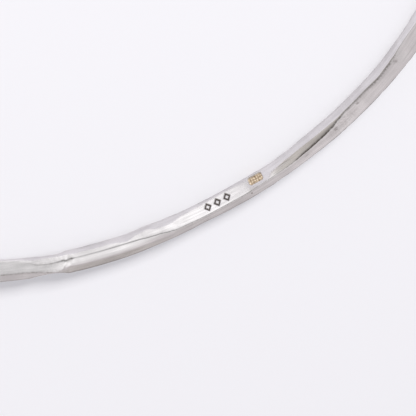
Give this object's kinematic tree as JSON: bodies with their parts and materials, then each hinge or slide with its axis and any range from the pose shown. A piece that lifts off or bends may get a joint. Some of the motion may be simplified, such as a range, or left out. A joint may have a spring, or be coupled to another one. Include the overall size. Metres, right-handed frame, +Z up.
{
  "type": "bangle",
  "caption": "Closed rigid wrist bangle of thin square silver bar with long hand-dressed flats, lying on its side.",
  "frame": {"origin": "centre of the ring, on the floor plane that the bangle lies on", "axes": "+Z up, along the ring's own axis; the marks are on the inside face near -Y, towards +X"},
  "size_m": [0.065, 0.065, 0.0016],
  "materials": {
    "silver": "satin polish over hammered and filed flats"
  },
  "bodies": {
    "root": {"hoop": "silver"}
  },
  "joints": []
}
